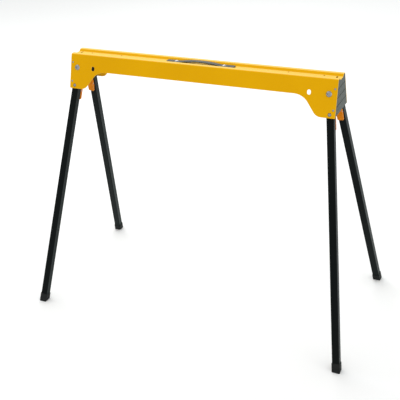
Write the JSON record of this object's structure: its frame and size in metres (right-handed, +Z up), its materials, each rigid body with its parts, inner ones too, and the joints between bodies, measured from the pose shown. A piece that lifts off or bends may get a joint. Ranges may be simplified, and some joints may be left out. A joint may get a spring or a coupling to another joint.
{
  "type": "folding sawhorse",
  "caption": "Folding sawhorse: a yellow folded-steel beam with gusseted ends and a carrying strap, on splayed black square-tube legs with lever-released locks.",
  "frame": {"origin": "on the floor under the middle of the beam", "axes": "+X along the beam to its right end, +Y to its rear side, +Z up"},
  "size_m": [1.0106, 0.5208, 0.788],
  "materials": {
    "beam_yellow": "satin powder coat",
    "leg_black": "satin powder coat",
    "foot_black": "moulded, matte",
    "cap_grey": "moulded, fine texture",
    "strap_grey": "moulded, matte",
    "lever_orange": "moulded, satin",
    "bracket_zinc": "zinc plated",
    "bright_steel": "bright zinc"
  },
  "bodies": {
    "stand": {"beam": "beam_yellow", "end_cap_left": "cap_grey", "end_cap_right": "cap_grey", "cap_screws_left": "bright_steel", "cap_screws_right": "bright_steel", "handle_strap": "strap_grey", "handle_screws": "bright_steel", "handle_nuts": "bright_steel", "pivot_bolt_front_left": "bright_steel", "pivot_washers_front_left": "bright_steel", "pivot_nut_front_left": "bright_steel", "pivot_bolt_front_right": "bright_steel", "pivot_washers_front_right": "bright_steel", "pivot_nut_front_right": "bright_steel", "pivot_bolt_rear_left": "bright_steel", "pivot_washers_rear_left": "bright_steel", "pivot_nut_rear_left": "bright_steel", "pivot_bolt_rear_right": "bright_steel", "pivot_washers_rear_right": "bright_steel", "pivot_nut_rear_right": "bright_steel"},
    "front_left_leg": {"leg_front_left": "leg_black", "foot_front_left": "foot_black", "bracket_front_left": "bracket_zinc", "hinge_pin_front_left": "bright_steel", "lock_spring_front_left": "bright_steel"},
    "front_left_lever": {"lever_front_left": "lever_orange"},
    "front_left_lock": {"lock_pin_front_left": "bright_steel"},
    "front_right_leg": {"leg_front_right": "leg_black", "foot_front_right": "foot_black", "bracket_front_right": "bracket_zinc", "hinge_pin_front_right": "bright_steel", "lock_spring_front_right": "bright_steel"},
    "front_right_lever": {"lever_front_right": "lever_orange"},
    "front_right_lock": {"lock_pin_front_right": "bright_steel"},
    "rear_left_leg": {"leg_rear_left": "leg_black", "foot_rear_left": "foot_black", "bracket_rear_left": "bracket_zinc", "hinge_pin_rear_left": "bright_steel", "lock_spring_rear_left": "bright_steel"},
    "rear_left_lever": {"lever_rear_left": "lever_orange"},
    "rear_left_lock": {"lock_pin_rear_left": "bright_steel"},
    "rear_right_leg": {"leg_rear_right": "leg_black", "foot_rear_right": "foot_black", "bracket_rear_right": "bracket_zinc", "hinge_pin_rear_right": "bright_steel", "lock_spring_rear_right": "bright_steel"},
    "rear_right_lever": {"lever_rear_right": "lever_orange"},
    "rear_right_lock": {"lock_pin_rear_right": "bright_steel"}
  },
  "joints": [
    {"name": "leg_fold_front_left", "type": "hinge", "parent": "stand", "child": "front_left_leg", "pos_m": [-0.398, -0.02969, 0.74143], "axis": [0, -0.9593, 0.2823], "range_deg": [0, 98.7]},
    {"name": "lever_press_front_left", "type": "hinge", "parent": "front_left_leg", "child": "front_left_lever", "pos_m": [-0.40702, -0.03555, 0.6666], "axis": [-0.9925, 0.0344, 0.1169], "range_deg": [0, 10]},
    {"name": "lock_slide_front_left", "type": "slide", "parent": "front_left_leg", "child": "front_left_lock", "axis": [0, 0.9593, -0.2823], "range_m": [0, 0.00317], "stiffness_N_per_m": 900, "springref_m": -0.006, "deforming": ["lock_spring_front_left"]},
    {"name": "leg_fold_front_right", "type": "hinge", "parent": "stand", "child": "front_right_leg", "pos_m": [0.398, -0.02969, 0.74143], "axis": [0, 0.9593, -0.2823], "range_deg": [0, 95.3]},
    {"name": "lever_press_front_right", "type": "hinge", "parent": "front_right_leg", "child": "front_right_lever", "pos_m": [0.40702, -0.03555, 0.6666], "axis": [-0.9925, -0.0344, -0.1169], "range_deg": [0, 10]},
    {"name": "lock_slide_front_right", "type": "slide", "parent": "front_right_leg", "child": "front_right_lock", "axis": [0, 0.9593, -0.2823], "range_m": [0, 0.00317], "stiffness_N_per_m": 900, "springref_m": -0.006, "deforming": ["lock_spring_front_right"]},
    {"name": "leg_fold_rear_left", "type": "hinge", "parent": "stand", "child": "rear_left_leg", "pos_m": [-0.398, 0.02969, 0.74143], "axis": [0, -0.9593, -0.2823], "range_deg": [0, 98.7]},
    {"name": "lever_press_rear_left", "type": "hinge", "parent": "rear_left_leg", "child": "rear_left_lever", "pos_m": [-0.40702, 0.03555, 0.6666], "axis": [0.9925, 0.0344, -0.1169], "range_deg": [0, 10]},
    {"name": "lock_slide_rear_left", "type": "slide", "parent": "rear_left_leg", "child": "rear_left_lock", "axis": [0, -0.9593, -0.2823], "range_m": [0, 0.00317], "stiffness_N_per_m": 900, "springref_m": -0.006, "deforming": ["lock_spring_rear_left"]},
    {"name": "leg_fold_rear_right", "type": "hinge", "parent": "stand", "child": "rear_right_leg", "pos_m": [0.398, 0.02969, 0.74143], "axis": [0, 0.9593, 0.2823], "range_deg": [0, 95.3]},
    {"name": "lever_press_rear_right", "type": "hinge", "parent": "rear_right_leg", "child": "rear_right_lever", "pos_m": [0.40702, 0.03555, 0.6666], "axis": [0.9925, -0.0344, 0.1169], "range_deg": [0, 10]},
    {"name": "lock_slide_rear_right", "type": "slide", "parent": "rear_right_leg", "child": "rear_right_lock", "axis": [0, -0.9593, -0.2823], "range_m": [0, 0.00317], "stiffness_N_per_m": 900, "springref_m": -0.006, "deforming": ["lock_spring_rear_right"]}
  ],
  "couplings": [
    {"joint": "lever_press_front_left", "follows": "lock_slide_front_left", "rad_per_m": 54.99},
    {"joint": "lever_press_front_right", "follows": "lock_slide_front_right", "rad_per_m": 54.99},
    {"joint": "lever_press_rear_left", "follows": "lock_slide_rear_left", "rad_per_m": 54.99},
    {"joint": "lever_press_rear_right", "follows": "lock_slide_rear_right", "rad_per_m": 54.99}
  ]
}
